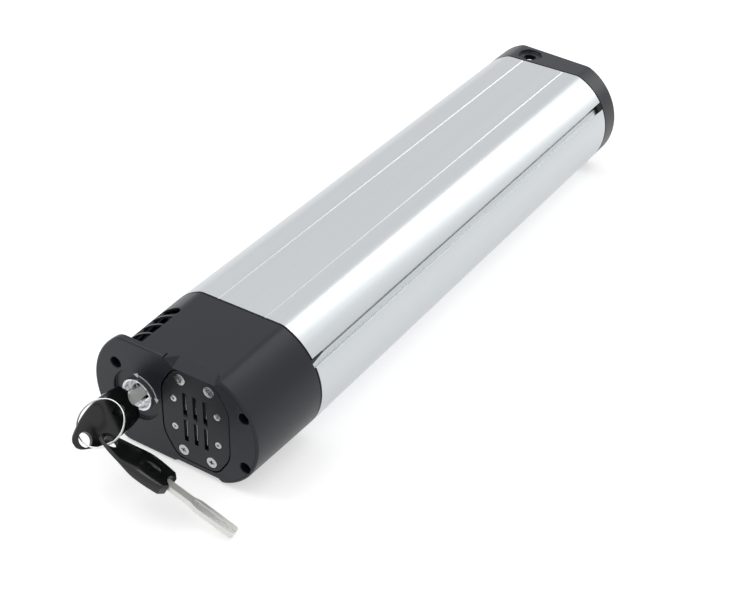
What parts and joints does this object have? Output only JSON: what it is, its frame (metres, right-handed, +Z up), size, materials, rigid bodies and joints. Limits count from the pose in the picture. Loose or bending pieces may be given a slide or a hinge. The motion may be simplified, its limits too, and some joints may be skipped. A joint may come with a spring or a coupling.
{
  "type": "e-bike battery",
  "caption": "Slim silver e-bike battery: an aluminium tube of cells with a black locking contact end, a rear locating cap and keys on a ring.",
  "frame": {"origin": "middle of the flat underside of the aluminium tube", "axes": "+X to the right seen from the contact end, +Y along the tube to the rear cap, +Z up"},
  "size_m": [0.099, 0.4179, 0.062],
  "materials": {
    "anodised_aluminium": "satin anodised, drawn along its length",
    "case_plastic": "matt moulded charcoal",
    "seal_rubber": "matt",
    "nickel_screw": "nickel plated",
    "connector_plastic": "matt moulded charcoal",
    "contact_metal": "plated spring contacts",
    "carrier_plastic": "matt moulded black",
    "lock_chrome": "polished",
    "driver_steel": "zinc plated",
    "bolt_black": "black oxide",
    "key_steel": "nickel plated",
    "key_plastic": "glossy moulded black",
    "ring_steel": "polished wire",
    "cell_wrap": "shrink sleeve",
    "holder_plastic": "matt moulded",
    "nickel_strip": "bright strip",
    "insulation": "pressed fibre",
    "board_green": "solder mask",
    "chip_black": "moulded",
    "sink_aluminium": "plain",
    "tray_plastic": "moulded white",
    "fuse_body": "moulded",
    "wire_red": "silicone insulation",
    "wire_black": "silicone insulation",
    "wire_white": "insulation",
    "foam": "closed cell foam"
  },
  "bodies": {
    "pack": {"tube": "anodised_aluminium", "front_shell": "case_plastic", "front_plate": "case_plastic", "front_seal": "seal_rubber", "front_screws": "nickel_screw", "rear_cap": "case_plastic", "rear_seal": "seal_rubber", "rear_screws": "nickel_screw", "connector_body": "connector_plastic", "contact_carrier": "carrier_plastic", "contacts": "contact_metal", "connector_screws": "nickel_screw", "carrier_screws": "nickel_screw", "positive_leads": "wire_red", "negative_leads": "wire_black", "signal_leads": "wire_white", "lock_body": "lock_chrome", "lock_screws": "nickel_screw", "bolt_guide": "driver_steel", "guide_screws": "nickel_screw", "cells_1": "cell_wrap", "cells_2": "cell_wrap", "cells_3": "cell_wrap", "cells_4": "cell_wrap", "cell_holders": "holder_plastic", "nickel_strips": "nickel_strip", "insulation_sheets": "insulation", "bms_board": "board_green", "bms_parts": "chip_black", "heatsink": "sink_aluminium", "bms_tray": "tray_plastic", "bms_screws": "nickel_screw", "fuse": "fuse_body", "pack_positive_lead": "wire_red", "pack_negative_lead": "wire_black", "balance_wires": "wire_white", "front_foam": "foam", "rear_foam": "foam"},
    "lock_plug": {"lock_plug": "lock_chrome", "lock_driver": "driver_steel", "driver_screws": "nickel_screw"},
    "lock_bolt": {"lock_bolt": "bolt_black"},
    "key_1": {"key_1_blade": "key_steel", "key_1_head": "key_plastic"},
    "split_ring": {"split_ring": "ring_steel"},
    "key_2": {"key_2_blade": "key_steel", "key_2_head": "key_plastic"}
  },
  "joints": [
    {"name": "lock_turn", "type": "hinge", "parent": "pack", "child": "lock_plug", "pos_m": [-0.0251, -0.2007, 0.031], "axis": [0, -1, 0], "range_deg": [0, 90]},
    {"name": "bolt_slide", "type": "slide", "parent": "pack", "child": "lock_bolt", "axis": [0, 0, 1], "range_m": [0, 0.008]},
    {"name": "key_slide", "type": "slide", "parent": "lock_plug", "child": "key_1", "axis": [0, -1, 0], "range_m": [0, 0.04]},
    {"name": "ring_turn", "type": "hinge", "parent": "key_1", "child": "split_ring", "pos_m": [-0.02144, -0.22918, 0.0359], "axis": [0.0814, -0.5717, 0.8164], "range_deg": [-20, 5]},
    {"name": "key_2_swing", "type": "hinge", "parent": "split_ring", "child": "key_2", "pos_m": [-0.01179, -0.2335, 0.03191], "axis": [0.5137, 0.7261, 0.4571], "range_deg": [-60, 10]}
  ],
  "couplings": [
    {"joint": "bolt_slide", "follows": "lock_turn", "m_per_rad": 0.00509}
  ]
}
